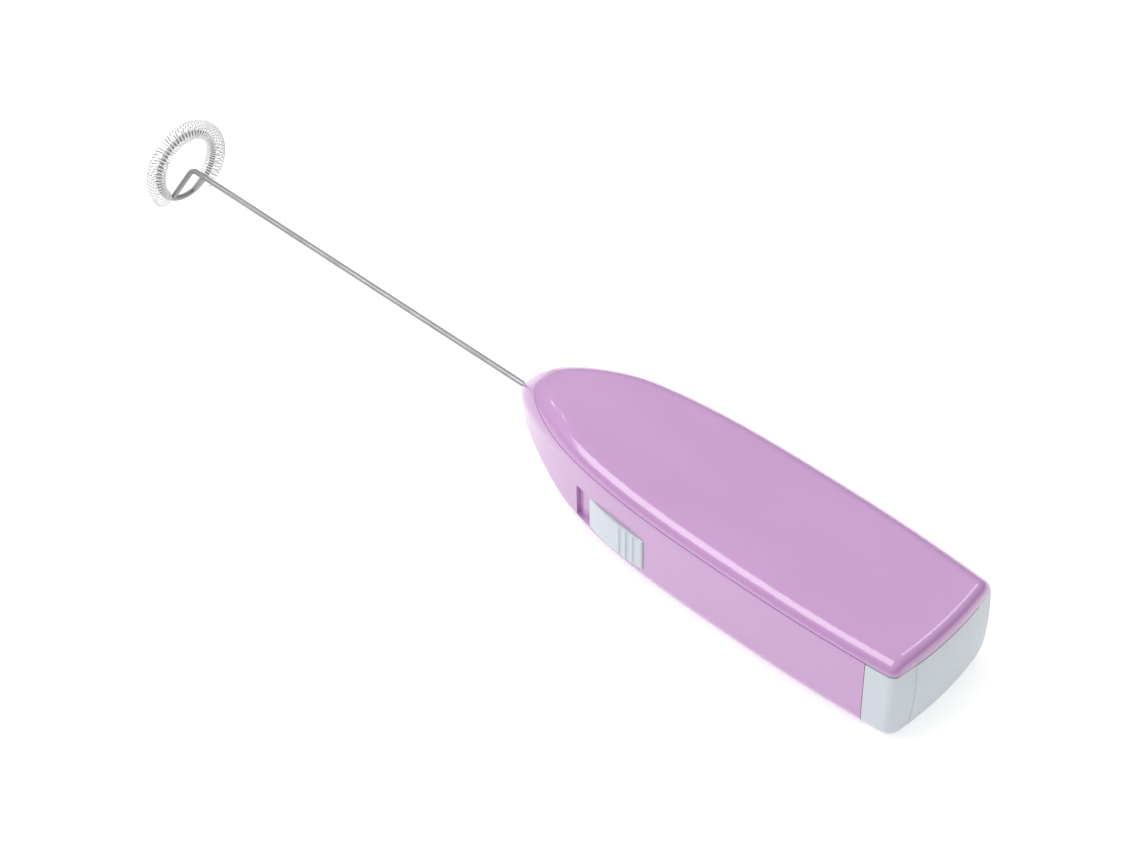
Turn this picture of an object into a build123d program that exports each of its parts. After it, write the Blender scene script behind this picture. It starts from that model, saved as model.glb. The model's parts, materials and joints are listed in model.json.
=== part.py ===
from build123d import *
import math
import os

# Battery milk frother: a boat-shaped two-cell handle with a side slide switch,
# a slip-off battery cover and a motor that spins a wire whisk.
# X runs along the handle from the whisk ring to the battery cover, Z is up.
# The flat underside lies on z = 0 and x = 0 is the middle of the overall length.
# Distances called d are measured from the nose tip back along the handle.

os.makedirs("parts", exist_ok=True)

# ---- handle ------------------------------------------------------------------
OVERALL_LENGTH = 226.0
HANDLE_LENGTH = 115.2
HALF_WIDTH = 17.65
AXIS_Z = 13.3            # whisk axis above the underside
TOP_RISE = 10.25         # crown of the lid above the whisk axis
CROWN = 0.48             # how far the middle of the lid stands above its long edges
WIDEST_D = 79.0          # the plan is widest here and draws in behind it
END_NARROWING = 1.7
END_PLAN_RADIUS = 84.0   # the end face bulges in plan
END_SIDE_RADIUS = 84.0   # and slightly from top to bottom
END_MIDDLE_Z = 12.9      # height where the end face reaches furthest back
END_EDGE_RADIUS = 2.2
TOP_EDGE_RADIUS = 3.4
BOTTOM_EDGE_RADIUS = 4.2
NOSE_ROUND = 0.8
UNDERSIDE_TRIM = 0.12    # shaved off the form so that the underside is truly flat
WALL = 1.4
SEAM_RISE = 6.8          # parting plane between lid and lower shell, above the axis
GROOVE_HEIGHT = 0.2      # shadow groove along the parting line
GROOVE_DEPTH = 0.25
CAVITY_START = 7.5
CAVITY_EDGE_RADIUS = 1.0
COVER_START = 106.5      # front edge of the battery cover
COVER_GAP = 0.15
LIP_GAP = 0.06           # the lid's lip nests inside the lower shell
LIP_THICKNESS = 0.9
LIP_DEPTH = 1.5
LIP_FRONT = 14.0
LIP_REAR = 99.0
PANEL_HALF_WIDTH = 10.0  # slightly raised panel in the middle of the cover's end face
PANEL_RISE = 0.12
NOSE_BUSH_RADIUS = 2.3
BUSH_SEAT_FRONT = 1.4
BEYOND = 60.0            # side of the squares that cut right across the handle

NOSE_X = OVERALL_LENGTH / 2 - HANDLE_LENGTH
END_X = OVERALL_LENGTH / 2
SEAM_Z = AXIS_Z + SEAM_RISE

# ---- whisk -------------------------------------------------------------------
WIRE_RADIUS = 0.65
RING_RADIUS = 9.4        # centre line of the coil wound round the ring
COIL_RADIUS = 2.3        # outside of the coil
COIL_WIRE = 0.5
FRAME_RADIUS = 8.5       # centre line of the bent ring wire inside the coil
COIL_START_ANGLE = -60.0
COIL_SPAN = 275.0
LIMB_ANGLES = (-82.0, -128.0)
LIMB_REACH = 6.0         # the wire leaves the axis this far before the ring
RING_X = -OVERALL_LENGTH / 2 + COIL_RADIUS

# ---- drive -------------------------------------------------------------------
RUNNING_GAP = 0.04
MOTOR_FRONT = 26.0
MOTOR_RADIUS = 10.05
MOTOR_FLAT = 7.55        # half the height across the flats
CAN_LENGTH = 20.0
CAN_WALL = 0.8
CAP_LENGTH = 4.6
BOSS_RADIUS = 3.05
BOSS_LENGTH = 1.6
SHAFT_RADIUS = 1.0
SHAFT_FRONT = 17.4
BUSH_RADIUS = 2.3
BUSH_LENGTH = 2.4
MAGNET_INNER = 6.9
MAGNET_OUTER = 9.1
ARMATURE_RADIUS = 6.5
COMMUTATOR_RADIUS = 2.4
ARMATURE_FRONT = 31.0
ARMATURE_LENGTH = 10.0
TERMINAL_OFFSET = 6.2
SLEEVE_RADIUS = 2.6
SLEEVE_FRONT = 10.5
SLEEVE_LENGTH = 12.5
WIRE_END = 16.8
MOTOR_REAR = MOTOR_FRONT + CAN_LENGTH + CAP_LENGTH

# ---- batteries ---------------------------------------------------------------
CELL_RADIUS = 7.1
CELL_LENGTH = 50.5       # with the button
BUTTON_RADIUS = 2.7
BUTTON_LENGTH = 1.1
CELL_PITCH = 14.6
CELL_FRONT = 59.0
CELL_Z = 10.0
BULKHEAD_D = 54.6
BULKHEAD_THICKNESS = 1.4
BULKHEAD_TOP = 16.1
CONTACT_THICKNESS = 0.4
BRIDGE_D = 112.2         # front face of the strip inside the cover
SPRING_WIRE = 0.6
SPRING_PITCH = 1.15
SPRING_BASE_RADIUS = 4.4
SPRING_CONE = -35.0
LEAD_RADIUS = 0.55

# ---- slide switch ------------------------------------------------------------
SLOT_FRONT = 28.2
SLOT_REAR = 49.2
SLOT_TOP = 0.4           # above the axis
SLOT_BOTTOM = -8.6
KNOB_LENGTH = 16.6
KNOB_GAP = 0.15
KNOB_TRAVEL = 4.0
KNOB_PROUD = 1.3
RIB_PITCH = 1.9
KNOB_END_PROUD = 0.4
STEM_SIZE = 3.2
STEM_REACH = 0.75        # stem end behind the pocket's floor
POCKET_DEPTH = 0.95
POCKET_FLOOR = 1.1
STRIP_THICKNESS = 0.3
BRIDGE_REACH = 0.7       # far face of the bridge, behind the pocket's floor
BRIDGE_LENGTH = 7.8


def nose_profile(d, full, length, power, root, lead):
    """Half size of the blunt-nosed body, d behind the nose tip."""
    reach = min((d + lead) / length, 1.0)
    return full * (1 - (1 - reach) ** power) ** (1 / root)


def half_width(d):
    past = max(0.0, d - WIDEST_D) / (HANDLE_LENGTH - WIDEST_D)
    return nose_profile(d, HALF_WIDTH, 85.6, 3.5, 1.41, 0.64) - END_NARROWING * past**2


def rise(d):
    return nose_profile(d, TOP_RISE, 35.6, 5.13, 1.04, 0.85)


def drop(d):
    return nose_profile(d, AXIS_Z + UNDERSIDE_TRIM, 60.0, 3.47, 1.3, 1.08)


def edge_radius(d, settled, half_height):
    """Nearly round sections at the nose, a settled edge radius from mid handle."""
    blend = min(max((d - 2.3) / 23.5, 0.0), 1.0)
    blend = blend * blend * (3 - 2 * blend)
    nose = 0.75 * min(half_width(d), half_height)
    return nose + (settled - nose) * blend


def at(d):
    return NOSE_X + d


def cross(d):
    """Plane across the handle: local x is +Y, local y is +Z, on the whisk axis."""
    return Plane(origin=(at(d), 0, AXIS_Z), x_dir=(0, 1, 0), z_dir=(1, 0, 0))


def handle_body(inset, start, count, growth):
    """The handle's form drawn in by inset, lofted through sections that spread
    out towards the rear; it runs past the rear face."""
    length = HANDLE_LENGTH + 4 - start
    with BuildPart() as body:
        for step in range(count + 1):
            d = start + length * (step / count) ** growth
            side = half_width(d) - inset
            top = rise(d) - inset
            bottom = drop(d) - inset
            shoulder = top - CROWN * side / HALF_WIDTH
            lower = edge_radius(d, BOTTOM_EDGE_RADIUS, drop(d)) - inset
            upper = edge_radius(d, TOP_EDGE_RADIUS, rise(d)) - inset
            with BuildSketch(cross(d)):
                with BuildLine():
                    Polyline((-side, shoulder), (-side, -bottom), (side, -bottom), (side, shoulder))
                    ThreePointArc((side, shoulder), (0, top), (-side, shoulder))
                face = make_face()
                corners = face.vertices().group_by(Axis.Z)
                fillet(corners[0], radius=max(lower, 0.5))
                fillet(corners[-1], radius=max(upper, 0.5))
        loft()
    return body.part


def end_barrel(inset):
    """Barrel whose bulging wall closes the rear of the handle."""
    centre_x = END_X - END_PLAN_RADIUS
    middle_z = END_MIDDLE_Z
    reach = 30.0
    sag = END_SIDE_RADIUS - math.sqrt(END_SIDE_RADIUS**2 - reach**2)
    with BuildPart() as barrel:
        with BuildSketch(Plane.XZ):
            with BuildLine():
                ThreePointArc(
                    (END_X - inset - sag, middle_z - reach),
                    (END_X - inset, middle_z),
                    (END_X - inset - sag, middle_z + reach),
                )
                Polyline(
                    (END_X - inset - sag, middle_z + reach),
                    (centre_x, middle_z + reach),
                    (centre_x, middle_z - reach),
                    (END_X - inset - sag, middle_z - reach),
                )
            make_face()
        revolve(axis=Axis((centre_x, 0, 0), (0, 0, 1)))
    return barrel.part


def closed_body(inset, start, count, growth, rounding):
    """The form with its bulging rear face and rounded rear edge."""
    form = handle_body(inset, start, count, growth)
    barrel = end_barrel(inset)
    with BuildPart() as body:
        add(form)
        add(barrel, mode=Mode.INTERSECT)
        rear = body.edges().filter_by(lambda e: e.center().X > at(HANDLE_LENGTH - 6))
        fillet(rear, radius=rounding)
        if inset == 0:
            split(bisect_by=Plane.XY, keep=Keep.TOP)
            tip = body.faces().sort_by(Axis.X)[0]
            fillet(tip.edges(), radius=NOSE_ROUND)
    return body.part


# Forms shared by the two shells and the battery cover.
outer_form = closed_body(0, 0, 16, 2.0, END_EDGE_RADIUS)
cavity_form = closed_body(WALL, CAVITY_START, 10, 1.5, CAVITY_EDGE_RADIUS)
trim_form = closed_body(GROOVE_DEPTH, 1.5, 16, 2.0, END_EDGE_RADIUS - GROOVE_DEPTH)
lip_outer_form = closed_body(WALL + LIP_GAP, CAVITY_START + 1, 10, 1.5, CAVITY_EDGE_RADIUS)
lip_inner_form = closed_body(WALL + LIP_GAP + LIP_THICKNESS, CAVITY_START + 2, 10, 1.5, 0.6)


def block(low, high, mode=Mode.ADD):
    """Box between two corners, each given as (d, y, z)."""
    size = [high[axis] - low[axis] for axis in range(3)]
    middle = [(high[axis] + low[axis]) / 2 for axis in range(3)]
    with Locations((at(middle[0]), middle[1], middle[2])):
        Box(*size, mode=mode)


def motor_outline(grow=0.0):
    """Round can with two flats, above and below the axis."""
    Circle(MOTOR_RADIUS + grow)
    Rectangle(3 * MOTOR_RADIUS, 2 * (MOTOR_FLAT + grow), mode=Mode.INTERSECT)


# The switch slides along the chord of the near wall across its slot.
front_point = Vector(at(SLOT_FRONT), -half_width(SLOT_FRONT), 0)
rear_point = Vector(at(SLOT_REAR), -half_width(SLOT_REAR), 0)
slot_length = (rear_point - front_point).length
slot_height = SLOT_TOP - SLOT_BOTTOM
slot_along = (rear_point - front_point).normalized()
slot_out = Vector(slot_along.Y, -slot_along.X, 0)
slot_middle_z = AXIS_Z + (SLOT_TOP + SLOT_BOTTOM) / 2
slot_centre = (front_point + rear_point) * 0.5 + Vector(0, 0, slot_middle_z)
wall_plane = Plane(origin=slot_centre, x_dir=slot_along, z_dir=slot_out)
plan_plane = Plane(origin=slot_centre, x_dir=slot_along, z_dir=(0, 0, -1))
knob_rear = slot_length / 2 - KNOB_GAP
knob_middle = knob_rear - KNOB_LENGTH / 2
stem_middle = STEM_SIZE / 2 + 0.4
pad_inner = -(POCKET_DEPTH + POCKET_FLOOR)
print("switch slide axis", -slot_along, "travel", KNOB_TRAVEL)

# ---- lower shell ---------------------------------------------------------------
with BuildPart() as fittings:
    # Bulkhead between the motor and the batteries.
    block((BULKHEAD_D, -25, 0.1), (BULKHEAD_D + BULKHEAD_THICKNESS, 25, BULKHEAD_TOP))
    # Two cradle ribs under the motor and a stop rib in front of it.
    for rib in (29.5, 41.0):
        block((rib, -8.6, 0.1), (rib + 2.0, 8.6, AXIS_Z - 2.0))
    block((MOTOR_FRONT - 1.8, -7.0, 0.1), (MOTOR_FRONT - 0.1, 7.0, AXIS_Z - 1.0))
    # Divider that keeps the two cells apart.
    block((BULKHEAD_D + 0.5, -0.8, 0.1), (COVER_START - 6.0, 0.8, 4.7))
    # Pad that thickens the near wall behind the switch.
    with BuildSketch(wall_plane.offset(pad_inner)):
        Rectangle(slot_length + 4.0, slot_height + 2.4)
    extrude(amount=-pad_inner)
    with BuildSketch(cross(MOTOR_FRONT - 0.1)):
        motor_outline(0.1)
    extrude(amount=CAN_LENGTH + CAP_LENGTH, mode=Mode.SUBTRACT)
    with BuildSketch(cross(MOTOR_FRONT - 2.5)):
        Circle(BOSS_RADIUS + 0.2)
    extrude(amount=5.0, mode=Mode.SUBTRACT)
    add(trim_form, mode=Mode.INTERSECT)

with BuildPart() as bottom_shell:
    add(outer_form)
    add(cavity_form, mode=Mode.SUBTRACT)
    add(fittings.part)
    with BuildSketch(Plane.XY.offset(SEAM_Z)):
        Rectangle(2 * OVERALL_LENGTH, BEYOND)
    extrude(amount=20, mode=Mode.SUBTRACT)
    with BuildSketch(cross(COVER_START)):
        Rectangle(BEYOND, BEYOND)
    extrude(amount=20, mode=Mode.SUBTRACT)
    # Pocket for the switch, with a slit for its stem.
    with BuildSketch(wall_plane.offset(-POCKET_DEPTH)):
        RectangleRounded(slot_length, slot_height, 0.6)
    extrude(amount=6, mode=Mode.SUBTRACT)
    with BuildSketch(wall_plane.offset(pad_inner - 0.5)):
        with Locations((stem_middle - KNOB_TRAVEL / 2, 0)):
            RectangleRounded(STEM_SIZE + KNOB_TRAVEL + 0.4, STEM_SIZE + 0.3, 0.5)
    extrude(amount=3, mode=Mode.SUBTRACT)
    # Stepped bore for the nose bush and the whisk wire.
    with BuildSketch(cross(BUSH_SEAT_FRONT)):
        Circle(NOSE_BUSH_RADIUS)
    extrude(amount=CAVITY_START, mode=Mode.SUBTRACT)
    with BuildSketch(cross(-1)):
        Circle(WIRE_RADIUS + 0.35)
    extrude(amount=4, mode=Mode.SUBTRACT)
bottom_shell.part.label = "bottom_shell"
export_step(bottom_shell.part, "parts/bottom_shell.step")

# ---- lid -----------------------------------------------------------------------
with BuildPart() as lip_root:
    add(trim_form)
    add(lip_inner_form, mode=Mode.SUBTRACT)
    block((LIP_FRONT, -30, SEAM_Z), (LIP_REAR, 30, SEAM_Z + 1.0), mode=Mode.INTERSECT)

with BuildPart() as lip:
    add(lip_outer_form)
    add(lip_inner_form, mode=Mode.SUBTRACT)
    block((LIP_FRONT, -30, SEAM_Z - LIP_DEPTH), (LIP_REAR, 30, SEAM_Z), mode=Mode.INTERSECT)
    add(lip_root.part)

with BuildPart() as groove:
    with BuildSketch(Plane.XY.offset(SEAM_Z)):
        Rectangle(2 * OVERALL_LENGTH, BEYOND)
    extrude(amount=GROOVE_HEIGHT)
    add(trim_form, mode=Mode.SUBTRACT)

with BuildPart() as top_shell:
    add(outer_form)
    add(cavity_form, mode=Mode.SUBTRACT)
    with BuildSketch(Plane.XY.offset(SEAM_Z)):
        Rectangle(2 * OVERALL_LENGTH, BEYOND)
    extrude(amount=-30, mode=Mode.SUBTRACT)
    add(lip.part)
    add(groove.part, mode=Mode.SUBTRACT)
top_shell.part.label = "top_shell"
export_step(top_shell.part, "parts/top_shell.step")

# ---- battery cover ---------------------------------------------------------------
with BuildPart() as beside_panel:
    for side in (-1, 1):
        inner, far = sorted((side * PANEL_HALF_WIDTH, side * BEYOND))
        block((HANDLE_LENGTH - 3, inner, -1), (HANDLE_LENGTH + 3, far, SEAM_Z))
    add(end_barrel(PANEL_RISE), mode=Mode.SUBTRACT)

with BuildPart() as battery_cover:
    add(outer_form)
    add(cavity_form, mode=Mode.SUBTRACT)
    with BuildSketch(Plane.XY.offset(SEAM_Z - COVER_GAP)):
        Rectangle(2 * OVERALL_LENGTH, BEYOND)
    extrude(amount=20, mode=Mode.SUBTRACT)
    with BuildSketch(cross(COVER_START + COVER_GAP)):
        Rectangle(BEYOND, BEYOND)
    extrude(amount=-2 * HANDLE_LENGTH, mode=Mode.SUBTRACT)
    add(beside_panel.part, mode=Mode.SUBTRACT)
    # Two tongues under the cells and two catches beside them.
    for side in (-1, 1):
        inner, far = sorted((side * 1.4, side * 10.5))
        block((COVER_START - 4.6, inner, WALL + 0.15), (COVER_START + 3, far, WALL + 1.05))
        block((COVER_START + 0.6, inner, 1.0), (COVER_START + 3, far, WALL + 0.5))
        inner, far = sorted((side * 13.95, side * 15.0))
        root = side * 15.7
        block((COVER_START - 4.6, inner, 12.6), (COVER_START + 4, far, 16.0))
        block((COVER_START + 0.6, min(inner, root), 12.6), (COVER_START + 4, max(far, root), 16.0))
battery_cover.part.label = "battery_cover"
export_step(battery_cover.part, "parts/battery_cover.step")

# ---- switch ----------------------------------------------------------------------
with BuildPart() as switch_button:
    with BuildSketch(plan_plane):
        with BuildLine():
            Polyline(
                (knob_rear, KNOB_END_PROUD),
                (knob_rear, KNOB_GAP - POCKET_DEPTH),
                (knob_rear - KNOB_LENGTH, KNOB_GAP - POCKET_DEPTH),
                (knob_rear - KNOB_LENGTH, KNOB_END_PROUD),
            )
            ThreePointArc(
                (knob_rear - KNOB_LENGTH, KNOB_END_PROUD),
                (knob_middle, KNOB_PROUD),
                (knob_rear, KNOB_END_PROUD),
            )
        make_face()
    extrude(amount=slot_height / 2 - KNOB_GAP, both=True)
    rim = [e for e in switch_button.edges() if wall_plane.to_local_coords(e.center()).Z > 0.2]
    fillet(rim, radius=0.5)
    with BuildSketch(plan_plane):
        for index in range(3):
            along = knob_rear - 2.0 - index * RIB_PITCH
            with Locations((along, KNOB_PROUD - 0.2 * (1.5 - index))):
                Circle(0.55)
    extrude(amount=slot_height / 2, both=True, mode=Mode.SUBTRACT)
    with BuildSketch(wall_plane.offset(KNOB_GAP - POCKET_DEPTH)):
        with Locations((stem_middle, 0)):
            Rectangle(STEM_SIZE, STEM_SIZE)
    extrude(amount=pad_inner - STEM_REACH - KNOB_GAP + POCKET_DEPTH)
    with BuildSketch(wall_plane.offset(pad_inner - STEM_REACH)):
        with Locations((stem_middle, 0)):
            RectangleRounded(STEM_SIZE + 1.4, STEM_SIZE + 1.4, 0.8)
    extrude(amount=-0.5)
switch_button.part.label = "switch_button"
export_step(switch_button.part, "parts/switch_button.step")

with BuildPart() as switch_bridge:
    with BuildSketch(wall_plane.offset(pad_inner - BRIDGE_REACH)):
        with Locations((stem_middle, 0)):
            RectangleRounded(BRIDGE_LENGTH, 6.8, 0.6)
            Rectangle(STEM_SIZE + 0.1, STEM_SIZE + 0.1, mode=Mode.SUBTRACT)
    extrude(amount=STRIP_THICKNESS)
switch_bridge.part.label = "switch_bridge"
export_step(switch_bridge.part, "parts/switch_bridge.step")

# The feed strip runs the whole way below the slit; the motor strip above it stops
# short, so that only the forward switch position joins them.
with BuildPart() as switch_feed_strip:
    with BuildSketch(wall_plane.offset(pad_inner)):
        with Locations((0.5, -3.1)):
            Rectangle(slot_length - 0.5, 2.1)
        with Locations((slot_length / 2 - 0.4, -1.2)):
            Rectangle(2.0, 3.0)
    extrude(amount=-STRIP_THICKNESS)
switch_feed_strip.part.label = "switch_feed_strip"
export_step(switch_feed_strip.part, "parts/switch_feed_strip.step")

with BuildPart() as switch_motor_strip:
    with BuildSketch(wall_plane.offset(pad_inner)):
        with Locations((-slot_length / 2 + 3.7, 3.1)):
            Rectangle(7.8, 2.1)
        with Locations((-slot_length / 2 + 0.9, 5.2)):
            Rectangle(2.2, 3.4)
    extrude(amount=-STRIP_THICKNESS)
switch_motor_strip.part.label = "switch_motor_strip"
export_step(switch_motor_strip.part, "parts/switch_motor_strip.step")

# ---- motor, fixed pieces -----------------------------------------------------------
with BuildPart() as motor_can:
    with BuildSketch(cross(MOTOR_FRONT)):
        motor_outline()
    extrude(amount=CAN_LENGTH)
    with BuildSketch(cross(MOTOR_FRONT + CAN_WALL)):
        motor_outline(-CAN_WALL)
    extrude(amount=CAN_LENGTH, mode=Mode.SUBTRACT)
    with BuildSketch(cross(MOTOR_FRONT - BOSS_LENGTH)):
        Circle(BOSS_RADIUS)
    extrude(amount=BOSS_LENGTH)
    with BuildSketch(cross(MOTOR_FRONT - BOSS_LENGTH - 0.1)):
        Circle(BUSH_RADIUS)
    extrude(amount=BOSS_LENGTH + CAN_WALL + 1, mode=Mode.SUBTRACT)
motor_can.part.label = "motor_can"
export_step(motor_can.part, "parts/motor_can.step")

with BuildPart() as motor_end_cap:
    with BuildSketch(cross(MOTOR_REAR - CAP_LENGTH)):
        motor_outline(-0.05)
    extrude(amount=CAP_LENGTH)
    with BuildSketch(cross(MOTOR_REAR - CAP_LENGTH - 0.1)):
        motor_outline(-1.3)
    extrude(amount=CAP_LENGTH - 1.1, mode=Mode.SUBTRACT)
    with BuildSketch(cross(MOTOR_REAR - 1.2)):
        Circle(BUSH_RADIUS + 0.8)
    extrude(amount=2.0)
    with BuildSketch(cross(MOTOR_REAR - 3.0)):
        Circle(BUSH_RADIUS)
    extrude(amount=6.0, mode=Mode.SUBTRACT)
    with BuildSketch(cross(MOTOR_REAR - 3.0)):
        with GridLocations(2 * TERMINAL_OFFSET, 0, 2, 1):
            Rectangle(0.6, 2.8)
    extrude(amount=4.0, mode=Mode.SUBTRACT)
motor_end_cap.part.label = "motor_end_cap"
export_step(motor_end_cap.part, "parts/motor_end_cap.step")


def bush(d, length):
    """Sintered bush that the motor shaft runs in."""
    with BuildPart() as ring:
        with BuildSketch(cross(d)):
            Circle(BUSH_RADIUS)
            Circle(SHAFT_RADIUS + RUNNING_GAP, mode=Mode.SUBTRACT)
        extrude(amount=length)
        chamfer(ring.edges().filter_by(GeomType.CIRCLE).group_by(SortBy.RADIUS)[0], length=0.15)
    return ring.part


with BuildPart() as motor_front_bush:
    add(bush(MOTOR_FRONT - BOSS_LENGTH, BUSH_LENGTH))
motor_front_bush.part.label = "motor_front_bush"
export_step(motor_front_bush.part, "parts/motor_front_bush.step")

with BuildPart() as motor_rear_bush:
    add(bush(MOTOR_REAR - 1.6, BUSH_LENGTH))
motor_rear_bush.part.label = "motor_rear_bush"
export_step(motor_rear_bush.part, "parts/motor_rear_bush.step")

with BuildPart() as motor_magnets:
    with BuildSketch(cross(MOTOR_FRONT + 2.5)):
        Circle(MAGNET_OUTER)
        Circle(MAGNET_INNER, mode=Mode.SUBTRACT)
        Rectangle(3 * MOTOR_RADIUS, 2 * (MOTOR_FLAT - CAN_WALL - 0.3), mode=Mode.INTERSECT)
        Rectangle(7.0, 3 * MOTOR_RADIUS, mode=Mode.SUBTRACT)
    extrude(amount=CAN_LENGTH - 4)
motor_magnets.part.label = "motor_magnets"
export_step(motor_magnets.part, "parts/motor_magnets.step")

# Each terminal is a tab through the end cap with an arm that carries a brush.
with BuildPart() as motor_terminals:
    for side in (-1, 1):
        offset = side * TERMINAL_OFFSET
        low = (MOTOR_REAR - 3.0, offset - 0.2, AXIS_Z - 1.3)
        block(low, (MOTOR_REAR + 2.2, offset + 0.2, AXIS_Z + 1.3))
        tip = side * (COMMUTATOR_RADIUS + 1.3)
        inner, far = sorted((offset + side * 0.2, tip))
        block((MOTOR_REAR - 3.0, inner, AXIS_Z - 0.9), (MOTOR_REAR - 2.6, far, AXIS_Z + 0.9))
motor_terminals.part.label = "motor_terminals"
export_step(motor_terminals.part, "parts/motor_terminals.step")

with BuildPart() as motor_brushes:
    for side in (-1, 1):
        inner, far = sorted((side * (COMMUTATOR_RADIUS + 0.06), side * (COMMUTATOR_RADIUS + 1.9)))
        block((MOTOR_REAR - 4.6, inner, AXIS_Z - 0.9), (MOTOR_REAR - 3.0, far, AXIS_Z + 0.9))
motor_brushes.part.label = "motor_brushes"
export_step(motor_brushes.part, "parts/motor_brushes.step")

# ---- motor, spinning pieces ----------------------------------------------------------
with BuildPart() as motor_shaft:
    with BuildSketch(cross(SHAFT_FRONT)):
        Circle(SHAFT_RADIUS)
    extrude(amount=MOTOR_REAR + 0.6 - SHAFT_FRONT)
    chamfer(motor_shaft.edges(), length=0.2)
motor_shaft.part.label = "motor_shaft"
export_step(motor_shaft.part, "parts/motor_shaft.step")

with BuildPart() as armature_core:
    with BuildSketch(cross(ARMATURE_FRONT)):
        Circle(2.8)
        with PolarLocations(ARMATURE_RADIUS / 2, 3):
            Rectangle(ARMATURE_RADIUS, 2.2)
        with BuildSketch(mode=Mode.PRIVATE) as shoe:
            Circle(ARMATURE_RADIUS)
            Circle(ARMATURE_RADIUS - 1.2, mode=Mode.SUBTRACT)
            with PolarLocations(ARMATURE_RADIUS, 3, start_angle=60):
                Rectangle(6.0, 2.0, mode=Mode.SUBTRACT)
        add(shoe.sketch)
        Circle(SHAFT_RADIUS, mode=Mode.SUBTRACT)
    extrude(amount=ARMATURE_LENGTH)
armature_core.part.label = "armature_core"
export_step(armature_core.part, "parts/armature_core.step")

# One coil round the neck of each pole.
with BuildPart() as armature_windings:
    for pole in range(3):
        angle = math.radians(120 * pole)
        outward = (0, math.cos(angle), math.sin(angle))
        middle = (at(ARMATURE_FRONT + ARMATURE_LENGTH / 2), 0, AXIS_Z)
        pole_plane = Plane(origin=middle, x_dir=(1, 0, 0), z_dir=outward)
        with BuildSketch(pole_plane.offset(2.9)):
            RectangleRounded(ARMATURE_LENGTH + 2.4, 4.4, 1.0)
            Rectangle(ARMATURE_LENGTH + 0.05, 2.25, mode=Mode.SUBTRACT)
        extrude(amount=1.8)
armature_windings.part.label = "armature_windings"
export_step(armature_windings.part, "parts/armature_windings.step")

with BuildPart() as commutator:
    with BuildSketch(cross(MOTOR_REAR - 5.4)):
        Circle(COMMUTATOR_RADIUS)
        Circle(SHAFT_RADIUS, mode=Mode.SUBTRACT)
        with PolarLocations(COMMUTATOR_RADIUS, 3, start_angle=60):
            Rectangle(0.9, 0.35, mode=Mode.SUBTRACT)
    extrude(amount=3.2)
commutator.part.label = "commutator"
export_step(commutator.part, "parts/commutator.step")

with BuildPart() as thrust_washers:
    for d in (MOTOR_FRONT + 1.0, MOTOR_REAR - 2.05):
        with BuildSketch(cross(d)):
            Circle(1.9)
            Circle(SHAFT_RADIUS, mode=Mode.SUBTRACT)
        extrude(amount=0.35)
thrust_washers.part.label = "thrust_washers"
export_step(thrust_washers.part, "parts/thrust_washers.step")

with BuildPart() as shaft_coupling:
    with BuildSketch(cross(SLEEVE_FRONT)):
        Circle(SLEEVE_RADIUS)
    extrude(amount=SLEEVE_LENGTH)
    fillet(shaft_coupling.edges(), radius=0.4)
    with BuildSketch(cross(SLEEVE_FRONT - 0.1)):
        Circle(WIRE_RADIUS)
    extrude(amount=WIRE_END - SLEEVE_FRONT + 0.1, mode=Mode.SUBTRACT)
    with BuildSketch(cross(SHAFT_FRONT)):
        Circle(SHAFT_RADIUS)
    extrude(amount=SLEEVE_LENGTH, mode=Mode.SUBTRACT)
shaft_coupling.part.label = "shaft_coupling"
export_step(shaft_coupling.part, "parts/shaft_coupling.step")

# ---- whisk -----------------------------------------------------------------------------
with BuildPart() as nose_bush:
    with BuildSketch(cross(BUSH_SEAT_FRONT)):
        Circle(NOSE_BUSH_RADIUS)
    extrude(amount=CAVITY_START - BUSH_SEAT_FRONT)
    with BuildSketch(cross(CAVITY_START)):
        Circle(NOSE_BUSH_RADIUS + 0.9)
    extrude(amount=0.8)
    with BuildSketch(cross(BUSH_SEAT_FRONT - 0.1)):
        Circle(WIRE_RADIUS + RUNNING_GAP)
    extrude(amount=CAVITY_START + 2, mode=Mode.SUBTRACT)
nose_bush.part.label = "nose_bush"
export_step(nose_bush.part, "parts/nose_bush.step")


def limb(angle, leave, bend):
    """Wire limb from the whisk axis out to the ring, in its own radial plane."""
    direction = math.radians(angle)
    radial_normal = (0, -math.sin(direction), math.cos(direction))
    plane = Plane(origin=(RING_X, 0, AXIS_Z), x_dir=(1, 0, 0), z_dir=radial_normal)
    with BuildPart() as wire:
        with BuildLine(plane):
            FilletPolyline((LIMB_REACH + 3, 0), (leave, 0), (0, FRAME_RADIUS), radius=bend)
        with BuildSketch(Plane(origin=(RING_X + LIMB_REACH + 3, 0, AXIS_Z), z_dir=(-1, 0, 0))):
            Circle(WIRE_RADIUS)
        sweep()
    return wire.part


limb_far = limb(LIMB_ANGLES[0], LIMB_REACH, 2.2)
limb_near = limb(LIMB_ANGLES[1], 2.2, 1.8)

with BuildPart() as whisk_wire:
    with BuildSketch(Plane.YZ.offset(RING_X + LIMB_REACH + 3)):
        with Locations((0, AXIS_Z)):
            Circle(WIRE_RADIUS)
    extrude(amount=at(WIRE_END) - RING_X - LIMB_REACH - 3)
    add(limb_far)
    add(limb_near)
    with BuildSketch(Plane.XZ):
        with Locations((RING_X, AXIS_Z + FRAME_RADIUS)):
            Circle(WIRE_RADIUS)
    revolve(axis=Axis((0, 0, AXIS_Z), (1, 0, 0)))
whisk_wire.part.label = "whisk_wire"
export_step(whisk_wire.part, "parts/whisk_wire.step")

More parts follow.
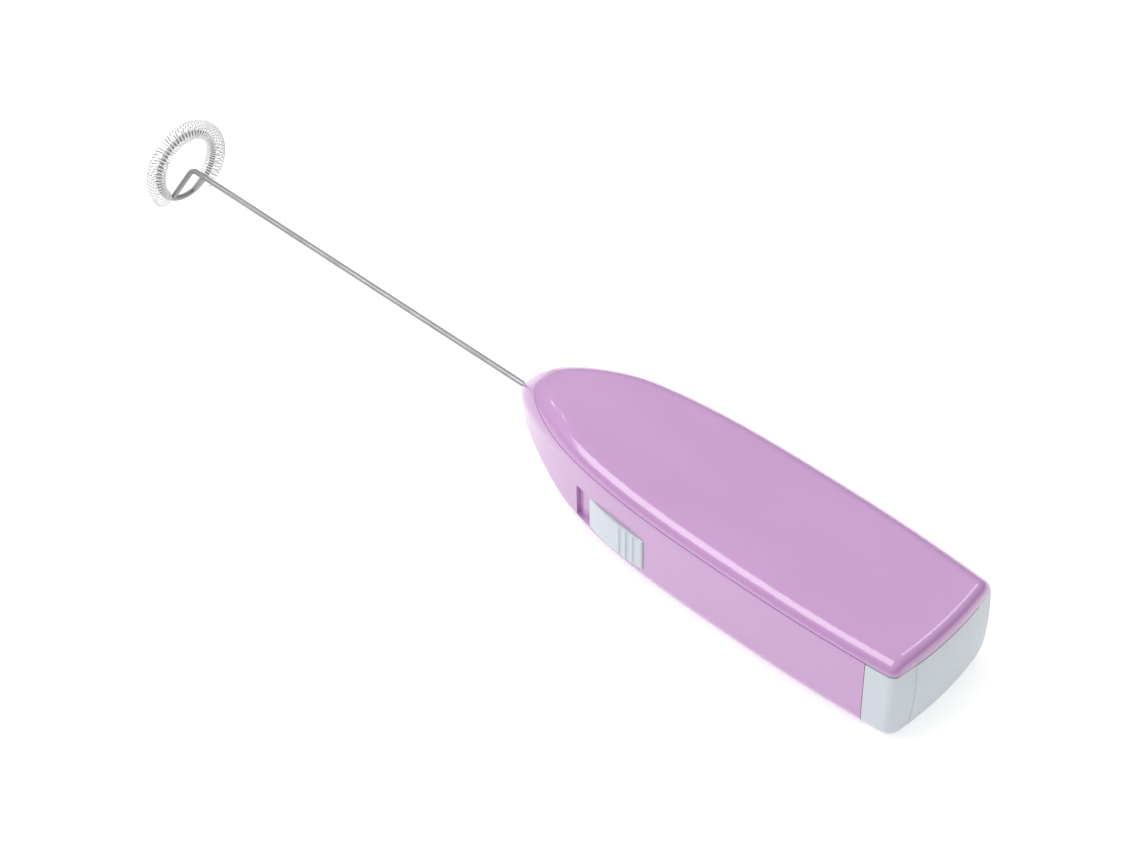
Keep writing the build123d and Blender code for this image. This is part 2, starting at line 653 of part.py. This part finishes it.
# Outer form of the coil spring threaded on the ring, hollow round the ring wire.
with BuildPart() as whisk_coil:
    start = math.radians(COIL_START_ANGLE)
    start_plane = Plane(
        origin=(RING_X, 0, AXIS_Z),
        x_dir=(1, 0, 0),
        z_dir=(0, -math.sin(start), math.cos(start)),
    )
    with BuildSketch(start_plane):
        with Locations((0, RING_RADIUS)):
            Circle(COIL_RADIUS)
            Circle(COIL_RADIUS - COIL_WIRE, mode=Mode.SUBTRACT)
    revolve(axis=Axis((0, 0, AXIS_Z), (1, 0, 0)), revolution_arc=COIL_SPAN)
whisk_coil.part.label = "whisk_coil"
export_step(whisk_coil.part, "parts/whisk_coil.step")

# ---- batteries ---------------------------------------------------------------------------


def cell(side, button_forward):
    """AA cell lying along the handle; its button faces the nose or the cover."""
    with BuildPart() as body:
        with BuildSketch(Plane.XZ):
            with BuildLine():
                Polyline(
                    (0, 0),
                    (CELL_LENGTH, 0),
                    (CELL_LENGTH, BUTTON_RADIUS),
                    (CELL_LENGTH - BUTTON_LENGTH, BUTTON_RADIUS),
                    (CELL_LENGTH - BUTTON_LENGTH, CELL_RADIUS),
                    (0, CELL_RADIUS),
                    (0, 0),
                )
            make_face()
        revolve(axis=Axis.X)
        rims = body.edges().filter_by(GeomType.CIRCLE).group_by(SortBy.RADIUS)
        fillet(rims[-1], radius=0.5)
        fillet(body.edges().group_by(Axis.X)[-1], radius=0.4)
    lying = body.part
    if button_forward:
        lying = lying.rotate(Axis.Z, 180).translate((CELL_LENGTH, 0, 0))
    return lying.translate((at(CELL_FRONT), side * CELL_PITCH / 2, CELL_Z))


with BuildPart() as battery_near:
    add(cell(-1, True))
battery_near.part.label = "battery_near"
export_step(battery_near.part, "parts/battery_near.step")

with BuildPart() as battery_far:
    add(cell(1, False))
battery_far.part.label = "battery_far"
export_step(battery_far.part, "parts/battery_far.step")


def contact_plate(side, face_d):
    """Contact plate on the bulkhead's rear face, with a solder tab folded over its top."""
    middle = side * CELL_PITCH / 2
    top = BULKHEAD_TOP + 0.05
    fold = top + CONTACT_THICKNESS
    block((face_d, middle - 3.5, 5.0), (face_d + CONTACT_THICKNESS, middle + 3.5, fold))
    block((BULKHEAD_D - 1.6, middle - 1.2, top), (face_d + 0.1, middle + 1.2, fold))


def contact_spring(tip, base, middle):
    """Conical battery spring from its wide base on the plate to its narrow tip."""
    length = abs(base - tip)
    with BuildPart() as coil:
        with BuildLine() as path:
            Helix(pitch=SPRING_PITCH, height=length, radius=SPRING_BASE_RADIUS, cone_angle=SPRING_CONE)
        with BuildSketch(Plane(origin=path.line @ 0, z_dir=path.line % 0)):
            Circle(SPRING_WIRE / 2)
        sweep(is_frenet=True)
    turned = coil.part.rotate(Axis.Y, 90 if tip > base else -90)
    return turned.translate((at(base), middle, CELL_Z))


plate_front = BULKHEAD_D + BULKHEAD_THICKNESS + 0.05
weld = SPRING_WIRE / 2 - 0.15    # the springs' base turns sink 0.15 into their plates
front_spring = contact_spring(
    CELL_FRONT - SPRING_WIRE / 2 - 0.1,
    plate_front + CONTACT_THICKNESS + weld,
    CELL_PITCH / 2,
)
rear_spring = contact_spring(
    CELL_FRONT + CELL_LENGTH + SPRING_WIRE / 2 + 0.1,
    BRIDGE_D - weld,
    -CELL_PITCH / 2,
)

with BuildPart() as spring_contact:
    contact_plate(1, plate_front)
    add(front_spring)
spring_contact.part.label = "spring_contact"
export_step(spring_contact.part, "parts/spring_contact.step")

with BuildPart() as button_contact:
    contact_plate(-1, plate_front)
    middle = -CELL_PITCH / 2
    tip = CELL_FRONT - 0.1
    block((plate_front, middle - 3.0, CELL_Z - 2.4), (tip, middle + 3.0, CELL_Z + 2.4))
    inner_tip = tip - CONTACT_THICKNESS
    block((0, middle - 2.6, CELL_Z - 3), (inner_tip, middle + 2.6, CELL_Z + 3), mode=Mode.SUBTRACT)
button_contact.part.label = "button_contact"
export_step(button_contact.part, "parts/button_contact.step")

with BuildPart() as cover_contact:
    block((BRIDGE_D, -11, CELL_Z - 3.4), (BRIDGE_D + CONTACT_THICKNESS, 11, CELL_Z + 3.4))
    add(rear_spring)
    middle = CELL_PITCH / 2
    tip = CELL_FRONT + CELL_LENGTH + 0.1
    block((tip, middle - 3.0, CELL_Z - 2.4), (BRIDGE_D + 0.1, middle + 3.0, CELL_Z + 2.4))
    inner_tip = tip + CONTACT_THICKNESS
    block((inner_tip, middle - 2.6, CELL_Z - 3), (BRIDGE_D, middle + 2.6, CELL_Z + 3), mode=Mode.SUBTRACT)
cover_contact.part.label = "cover_contact"
export_step(cover_contact.part, "parts/cover_contact.step")

# ---- leads ---------------------------------------------------------------------------------


def lead(points, radii):
    """Insulated lead along straight runs joined by arcs; points are (d, y, z)."""
    corners = [(at(d), y, z) for d, y, z in points]
    with BuildPart() as wire:
        with BuildLine() as path:
            FilletPolyline(*corners, radius=radii)
        with BuildSketch(Plane(origin=path.line @ 0, z_dir=path.line % 0)):
            Circle(LEAD_RADIUS)
        sweep()
    return wire.part


tab_z = BULKHEAD_TOP + 0.5 + LEAD_RADIUS + 0.02
tab_d = BULKHEAD_D - 0.9
lead_depth = pad_inner - STRIP_THICKNESS - LEAD_RADIUS
feed_end = wall_plane.from_local_coords((slot_length / 2 - 0.4, -1.2, lead_depth))
with BuildPart() as lead_feed:
    add(lead(
        [
            (tab_d, -CELL_PITCH / 2 - 0.6, tab_z),
            (tab_d, -12.6, tab_z),
            (tab_d, -12.9, feed_end.Z + 0.4),
            (tab_d - 2.2, feed_end.Y + 0.2, feed_end.Z),
        ],
        [1.6, 1.0],
    ))
lead_feed.part.label = "lead_feed"
export_step(lead_feed.part, "parts/lead_feed.step")

motor_z = AXIS_Z + 1.3
strip_end = wall_plane.from_local_coords((-slot_length / 2 + 2.0, 5.2, pad_inner - STRIP_THICKNESS / 2))
with BuildPart() as lead_switch:
    add(lead(
        [
            (strip_end.X - NOSE_X + 0.35, strip_end.Y + 0.3, strip_end.Z + 1.2),
            (49.0, -13.4, motor_z),
            (52.4, -13.0, motor_z),
            (52.2, -TERMINAL_OFFSET - 0.3, motor_z),
        ],
        [2.0, 1.2],
    ))
lead_switch.part.label = "lead_switch"
export_step(lead_switch.part, "parts/lead_switch.step")

with BuildPart() as lead_return:
    add(lead(
        [
            (tab_d, CELL_PITCH / 2 + 0.6, tab_z),
            (tab_d, 12.0, tab_z),
            (tab_d - 1.0, 12.0, motor_z - 0.8),
            (52.2, TERMINAL_OFFSET + 0.3, motor_z - 0.8),
        ],
        [1.4, 1.2],
    ))
lead_return.part.label = "lead_return"
export_step(lead_return.part, "parts/lead_return.step")
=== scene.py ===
import json
import math

import bpy
from mathutils import Matrix, Vector

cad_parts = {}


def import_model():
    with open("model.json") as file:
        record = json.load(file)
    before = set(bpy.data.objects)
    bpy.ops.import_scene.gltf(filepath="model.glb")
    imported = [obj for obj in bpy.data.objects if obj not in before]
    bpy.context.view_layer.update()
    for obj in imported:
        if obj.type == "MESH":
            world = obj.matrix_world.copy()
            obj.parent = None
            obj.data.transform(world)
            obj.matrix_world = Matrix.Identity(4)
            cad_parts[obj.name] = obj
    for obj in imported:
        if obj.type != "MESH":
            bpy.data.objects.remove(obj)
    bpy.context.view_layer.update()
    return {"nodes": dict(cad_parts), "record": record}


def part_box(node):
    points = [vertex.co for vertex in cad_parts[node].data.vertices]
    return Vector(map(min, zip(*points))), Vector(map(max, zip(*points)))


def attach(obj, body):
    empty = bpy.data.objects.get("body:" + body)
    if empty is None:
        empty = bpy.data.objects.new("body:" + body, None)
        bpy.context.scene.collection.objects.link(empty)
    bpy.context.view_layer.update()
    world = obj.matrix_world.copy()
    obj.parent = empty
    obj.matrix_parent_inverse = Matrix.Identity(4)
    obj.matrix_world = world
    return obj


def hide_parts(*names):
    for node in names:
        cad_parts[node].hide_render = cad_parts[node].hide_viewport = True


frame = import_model()
nodes = frame["nodes"]

MM = 0.001
CELL_OFFSET = 7.3 * MM      # axes of the two cells either side of the middle
CELL_HEIGHT = 10.0 * MM
JACKET_INNER = 6.5 * MM     # nearer to the cell's axis than this its ends are bare metal
COIL_WIRE = 0.16 * MM
COIL_TURNS = 56
COIL_STEPS = 16             # points in each turn
COIL_START = math.radians(-60)
COIL_SPAN = math.radians(275)
FLOOR_REACH = 4.0
PEEL_DEPTH = 0.02 * MM      # orange peel of the moulded plastic
HAZE_DEPTH = 0.002 * MM
WHITE_LIGHT = (1, 1, 1, 1)


# ---- node helpers ---------------------------------------------------------------
def new_material(name):
    """Empty node material with its output and a principled shader."""
    material = bpy.data.materials.new(name)
    material.use_nodes = True
    tree = material.node_tree
    tree.nodes.clear()
    shader = tree.nodes.new("ShaderNodeBsdfPrincipled")
    output = tree.nodes.new("ShaderNodeOutputMaterial")
    tree.links.new(shader.outputs["BSDF"], output.inputs["Surface"])
    return material, tree, shader


def settle(shader, **values):
    """Set constants straight on the shader's own sockets."""
    for name, value in values.items():
        shader.inputs[name.replace("_", " ")].default_value = value


def object_place(tree, scale=(1, 1, 1)):
    """Object coordinates, multiplied by scale."""
    place = tree.nodes.new("ShaderNodeTexCoord")
    mapping = tree.nodes.new("ShaderNodeMapping")
    mapping.inputs["Scale"].default_value = scale
    tree.links.new(place.outputs["Object"], mapping.inputs["Vector"])
    return mapping.outputs["Vector"]


def noise(tree, vector, scale, detail=2.0, rough=0.5):
    texture = tree.nodes.new("ShaderNodeTexNoise")
    texture.inputs["Scale"].default_value = scale
    texture.inputs["Detail"].default_value = detail
    texture.inputs["Roughness"].default_value = rough
    tree.links.new(vector, texture.inputs["Vector"])
    return texture.outputs["Fac"]


def roughen(tree, shader, value, low, high):
    """Roughness from low to high where a noise value runs from 0.3 to 0.7."""
    ranged = tree.nodes.new("ShaderNodeMapRange")
    ranged.inputs["From Min"].default_value = 0.3
    ranged.inputs["From Max"].default_value = 0.7
    ranged.inputs["To Min"].default_value = low
    ranged.inputs["To Max"].default_value = high
    tree.links.new(value, ranged.inputs["Value"])
    tree.links.new(ranged.outputs["Result"], shader.inputs["Roughness"])


def colour_by(tree, shader, value, stops):
    """Base colour along a ramp through (position, colour) stops."""
    node = tree.nodes.new("ShaderNodeValToRGB")
    elements = node.color_ramp.elements
    while len(elements) < len(stops):
        elements.new(0.5)
    for element, (position, colour) in zip(elements, stops):
        element.position = position
        element.color = (*colour, 1.0)
    tree.links.new(value, node.inputs["Fac"])
    tree.links.new(node.outputs["Color"], shader.inputs["Base Color"])


def bump(tree, shader, heights):
    """Chain of bumps, each (height output, strength, distance in metres)."""
    normal = None
    for height, strength, distance in heights:
        node = tree.nodes.new("ShaderNodeBump")
        node.inputs["Strength"].default_value = strength
        node.inputs["Distance"].default_value = distance
        tree.links.new(height, node.inputs["Height"])
        if normal is not None:
            tree.links.new(normal, node.inputs["Normal"])
        normal = node.outputs["Normal"]
    tree.links.new(normal, shader.inputs["Normal"])


def maths(tree, operation, value, other=None):
    """One math node. Each operand is another node's output or a number."""
    node = tree.nodes.new("ShaderNodeMath")
    node.operation = operation
    for socket, operand in zip(node.inputs, (value, other)):
        if hasattr(operand, "is_output"):
            tree.links.new(operand, socket)
        elif operand is not None:
            socket.default_value = operand
    return node.outputs["Value"]


def shade(colour, factor):
    return tuple(min(1.0, channel * factor) for channel in colour)


# ---- materials --------------------------------------------------------------------
def moulded_plastic(name, colour, roughness, coat=0.0, scatter=0.0):
    """Injection-moulded plastic: faint flow marks, orange peel and fine haze."""
    material, tree, shader = new_material(name)
    flow = noise(tree, object_place(tree, (1, 2.2, 2.2)), 26, 3)
    peel = noise(tree, object_place(tree), 420)
    haze = noise(tree, object_place(tree), 1500)
    stops = [(0.35, shade(colour, 0.965)), (0.5, colour), (0.66, shade(colour, 1.03))]
    colour_by(tree, shader, flow, stops)
    roughen(tree, shader, haze, roughness * 0.85, roughness * 1.18)
    bump(tree, shader, [(peel, 0.12, PEEL_DEPTH), (haze, 0.06, HAZE_DEPTH)])
    settle(shader, IOR=1.5, Coat_Weight=coat, Coat_IOR=1.7, Coat_Roughness=0.1)
    if scatter:
        settle(shader, Subsurface_Weight=scatter, Subsurface_Scale=1.5 * MM)
        shader.inputs["Subsurface Radius"].default_value = (1.0, 0.6, 1.0)
    return material


def drawn_metal(name, colour, roughness, stretch=(1, 18, 18), metallic=1.0):
    """Metal with a grain along one direction and a little uneven tone."""
    material, tree, shader = new_material(name)
    grain = noise(tree, object_place(tree, stretch), 90, 4, 0.6)
    cloud = noise(tree, object_place(tree), 160, 3)
    stops = [(0.3, shade(colour, 0.86)), (0.55, colour), (0.75, shade(colour, 1.08))]
    colour_by(tree, shader, cloud, stops)
    roughen(tree, shader, grain, roughness * 0.7, roughness * 1.4)
    bump(tree, shader, [(grain, 0.35, 0.01 * MM)])
    settle(shader, Metallic=metallic)
    return material


def speckled(name, colour, speck, roughness, metallic=0.0):
    """Sintered or pressed material: fine two-tone grain with pores."""
    material, tree, shader = new_material(name)
    grain = noise(tree, object_place(tree), 1800, 3, 0.7)
    colour_by(tree, shader, grain, [(0.42, speck), (0.56, colour)])
    roughen(tree, shader, grain, roughness * 1.2, roughness * 0.85)
    bump(tree, shader, [(grain, 0.5, 0.04 * MM)])
    settle(shader, Metallic=metallic)
    return material


def banded(name, light, dark, period, roughness, metallic):
    """Fine even bands along the whisk axis: stacked plates or wound wire."""
    material, tree, shader = new_material(name)
    wave = tree.nodes.new("ShaderNodeTexWave")
    wave.bands_direction = "X"
    wave.inputs["Scale"].default_value = math.pi / (10 * period)
    wave.inputs["Distortion"].default_value = 0.3
    tree.links.new(object_place(tree), wave.inputs["Vector"])
    colour_by(tree, shader, wave.outputs["Fac"], [(0.25, dark), (0.6, light)])
    grain = noise(tree, object_place(tree), 900, 3)
    roughen(tree, shader, grain, roughness * 0.8, roughness * 1.2)
    bump(tree, shader, [(wave.outputs["Fac"], 0.6, 0.06 * MM)])
    settle(shader, Metallic=metallic)
    return material


def cell_jacket():
    """Plain dark jacket round each cell, with bare nickel at its two ends."""
    material = moulded_plastic("cell_jacket", (0.10, 0.12, 0.16), 0.3, coat=0.4)
    tree = material.node_tree
    shader = next(node for node in tree.nodes if node.type == "BSDF_PRINCIPLED")
    split = tree.nodes.new("ShaderNodeSeparateXYZ")
    tree.links.new(object_place(tree), split.inputs["Vector"])
    beside = maths(tree, "SUBTRACT", maths(tree, "ABSOLUTE", split.outputs["Y"]), CELL_OFFSET)
    above = maths(tree, "SUBTRACT", split.outputs["Z"], CELL_HEIGHT)
    squares = [maths(tree, "POWER", side, 2) for side in (beside, above)]
    reach = maths(tree, "SQRT", maths(tree, "ADD", *squares))
    bare = maths(tree, "LESS_THAN", reach, JACKET_INNER)
    mix = tree.nodes.new("ShaderNodeMix")
    mix.data_type = "RGBA"
    tree.links.new(bare, mix.inputs["Factor"])
    tree.links.new(shader.inputs["Base Color"].links[0].from_socket, mix.inputs["A"])
    mix.inputs["B"].default_value = (0.70, 0.68, 0.64, 1.0)
    tree.links.new(mix.outputs["Result"], shader.inputs["Base Color"])
    tree.links.new(bare, shader.inputs["Metallic"])
    return material


LILAC = (0.475, 0.238, 0.50)
WHITE = (0.56, 0.61, 0.655)
BRONZE, BRONZE_PORES = (0.5, 0.3, 0.13), (0.22, 0.12, 0.05)
PLATES, PLATE_GAPS = (0.34, 0.34, 0.35), (0.10, 0.10, 0.11)
COPPER, COPPER_GAPS = (0.72, 0.28, 0.10), (0.24, 0.07, 0.02)
COIL_GREY = (0.86, 0.86, 0.86)
materials = {
    "lilac_shell": moulded_plastic("lilac_shell", LILAC, 0.22, coat=1.0, scatter=0.08),
    "white_plastic": moulded_plastic("white_plastic", WHITE, 0.32, coat=0.15, scatter=0.08),
    "bearing_bronze": speckled("bearing_bronze", BRONZE, BRONZE_PORES, 0.42, metallic=0.9),
    "contact_brass": drawn_metal("contact_brass", (0.80, 0.58, 0.24), 0.25),
    "motor_steel": drawn_metal("motor_steel", (0.62, 0.62, 0.60), 0.28, stretch=(18, 1, 1)),
    "motor_nylon": moulded_plastic("motor_nylon", (0.78, 0.76, 0.66), 0.45, scatter=0.2),
    "ferrite": speckled("ferrite", (0.045, 0.045, 0.05), (0.02, 0.02, 0.02), 0.6),
    "carbon": speckled("carbon", (0.03, 0.03, 0.03), (0.012, 0.012, 0.012), 0.5, metallic=0.2),
    "nickel_contact": drawn_metal("nickel_contact", (0.72, 0.69, 0.63), 0.22),
    "red_lead": moulded_plastic("red_lead", (0.55, 0.02, 0.02), 0.4),
    "blue_lead": moulded_plastic("blue_lead", (0.03, 0.09, 0.42), 0.4),
    "black_lead": moulded_plastic("black_lead", (0.02, 0.02, 0.02), 0.4),
    "whisk_steel": drawn_metal("whisk_steel", (0.36, 0.36, 0.37), 0.45, stretch=(1, 20, 20)),
    "coil_steel": drawn_metal("coil_steel", COIL_GREY, 0.5, stretch=(6, 6, 6), metallic=0.6),
    "coupling_plastic": moulded_plastic("coupling_plastic", (0.03, 0.03, 0.033), 0.5),
    "shaft_steel": drawn_metal("shaft_steel", (0.6, 0.6, 0.62), 0.18, stretch=(1, 30, 30)),
    "laminations": banded("laminations", PLATES, PLATE_GAPS, 0.5 * MM, 0.4, 0.8),
    "copper_wire": banded("copper_wire", COPPER, COPPER_GAPS, 0.35 * MM, 0.3, 0.8),
    "copper_bars": drawn_metal("copper_bars", (0.80, 0.40, 0.22), 0.25, stretch=(20, 1, 1)),
    "washer_fibre": speckled("washer_fibre", (0.32, 0.19, 0.09), (0.20, 0.11, 0.05), 0.7),
    "cell_jacket": cell_jacket(),
}


def dress(obj, slot):
    obj.data.materials.clear()
    obj.data.materials.append(materials[slot])


for entry in frame["record"]["subparts"]:
    dress(nodes[entry["node"]], entry["material_slot"])


# ---- whisk coil ----------------------------------------------------------------------
def link(obj):
    bpy.context.scene.collection.objects.link(obj)
    return obj


def wire_curve(name, points, radius):
    """Round wire through points, as a bevelled curve with closed ends."""
    curve = bpy.data.curves.new(name, "CURVE")
    curve.dimensions = "3D"
    curve.bevel_depth = radius
    curve.bevel_resolution = 5
    curve.use_fill_caps = True
    spline = curve.splines.new("POLY")
    spline.points.add(len(points) - 1)
    for slot, point in zip(spline.points, points):
        slot.co = (*point, 1.0)
    return link(bpy.data.objects.new(name, curve))


def whisk_coil():
    """Coil spring threaded on the ring wire, open where the two limbs join."""
    low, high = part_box("whisk_coil")
    outer = (high.y - low.y) / 2
    centre = Vector(((low.x + high.x) / 2, (low.y + high.y) / 2, high.z - outer))
    tube = (high.x - low.x) / 2
    turn_radius = tube - COIL_WIRE
    ring_radius = outer - tube
    points = []
    for step in range(COIL_TURNS * COIL_STEPS + 1):
        part = step / (COIL_TURNS * COIL_STEPS)
        around = COIL_START + COIL_SPAN * part
        twist = 2 * math.pi * COIL_TURNS * part
        reach = ring_radius + turn_radius * math.cos(twist)
        points.append((
            centre.x + turn_radius * math.sin(twist),
            centre.y + reach * math.cos(around),
            centre.z + reach * math.sin(around),
        ))
    coil = wire_curve("whisk_coil_spring", points, COIL_WIRE)
    dress(coil, "coil_steel")
    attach(coil, "whisk")
    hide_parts("whisk_coil")


whisk_coil()


# ---- floor, light and camera ------------------------------------------------------------
def floor():
    """Plain pale paper that gives off a little light of its own."""
    mesh = bpy.data.meshes.new("floor")
    signs = ((-1, -1), (1, -1), (1, 1), (-1, 1))
    corners = [(x * FLOOR_REACH, y * FLOOR_REACH, 0) for x, y in signs]
    mesh.from_pydata(corners, [], [(0, 1, 2, 3)])
    plane = link(bpy.data.objects.new("floor", mesh))
    material, tree, shader = new_material("floor_paper")
    fibre = noise(tree, object_place(tree), 900, 3)
    colour_by(tree, shader, fibre, [(0.3, (0.62, 0.62, 0.62)), (0.7, (0.65, 0.65, 0.65))])
    settle(shader, Roughness=0.9, Emission_Strength=0.5)
    shader.inputs["Emission Color"].default_value = WHITE_LIGHT
    plane.data.materials.append(material)


def area_light(name, place, target, size, along, power):
    """Softbox at place, facing target, its second size measured towards along."""
    data = bpy.data.lights.new(name, "AREA")
    data.shape = "RECTANGLE"
    data.size, data.size_y = size
    data.energy = power
    lamp = link(bpy.data.objects.new(name, data))
    back = (Vector(place) - Vector(target)).normalized()
    across = Vector(along).cross(back).normalized()
    turn = Matrix((across, back.cross(across), back)).transposed()
    lamp.matrix_world = Matrix.Translation(place) @ turn.to_4x4()


def world(dim, bright):
    """White room, bright overhead and dim near the horizon, most of all at the rear end."""
    back = bpy.data.worlds.new("studio")
    back.use_nodes = True
    tree = back.node_tree
    place = tree.nodes.new("ShaderNodeTexCoord")
    towards = tree.nodes.new("ShaderNodeVectorMath")
    towards.operation = "DOT_PRODUCT"
    towards.inputs[1].default_value = (-0.3, -0.1, 0.95)
    tree.links.new(place.outputs["Generated"], towards.inputs[0])
    spread = tree.nodes.new("ShaderNodeMapRange")
    spread.interpolation_type = "SMOOTHSTEP"
    spread.inputs["From Min"].default_value = 0.0
    spread.inputs["From Max"].default_value = 0.9
    spread.inputs["To Min"].default_value = dim
    spread.inputs["To Max"].default_value = bright
    tree.links.new(towards.outputs["Value"], spread.inputs["Value"])
    tree.links.new(spread.outputs["Result"], tree.nodes["Background"].inputs["Strength"])
    tree.nodes["Background"].inputs["Color"].default_value = WHITE_LIGHT
    bpy.context.scene.world = back


def camera(target, azimuth, elevation, distance, lens, roll):
    """Azimuth is measured from +X towards +Y, both angles in degrees."""
    data = bpy.data.cameras.new("camera")
    data.lens = lens
    data.sensor_width = 36.0
    data.clip_start, data.clip_end = 0.01, 20
    eye = link(bpy.data.objects.new("camera", data))
    a, e = math.radians(azimuth), math.radians(elevation)
    back = Vector((math.cos(a) * math.cos(e), math.sin(a) * math.cos(e), math.sin(e)))
    level = (-back).to_track_quat("-Z", "Y").to_matrix()
    turn = level @ Matrix.Rotation(math.radians(roll), 3, "Z")
    eye.matrix_world = Matrix.Translation(Vector(target) + back * distance) @ turn.to_4x4()
    bpy.context.scene.camera = eye


floor()
world(0.32, 1.12)
# the key makes the stripe along the lid's near ridge, the rear light the one at its rear end
area_light("key", (-0.273, -0.385, 0.535), (0.05, 0, 0.02), (0.46, 0.4), (0, 0.8, 0.6), 1.6)
area_light("rear", (-0.04, 0.49, 0.76), (0.11, 0, 0.02), (0.2, 0.36), (0, 0.8, -0.6), 0.5)
# two small lamps for the spots on the lid's nose
LAMP_SIZE, LAMP_ALONG, LAMP_POWER = (0.07, 0.07), (0, 1, 0), 0.065
for name, place, target in (
    ("lamp_low", (-0.80, 0.11, 0.59), (0.012, -0.007, 0.023)),
    ("lamp_high", (-0.66, 0.17, 0.74), (0.016, -0.008, 0.023)),
):
    area_light(name, place, target, LAMP_SIZE, LAMP_ALONG, LAMP_POWER)
camera(
    target=(0.01388, -0.00326, 0.01383), azimuth=-46.89, elevation=46.35,
    distance=0.6414, lens=94.74, roll=-1.04,
)
bpy.context.scene.view_settings.view_transform = "Standard"
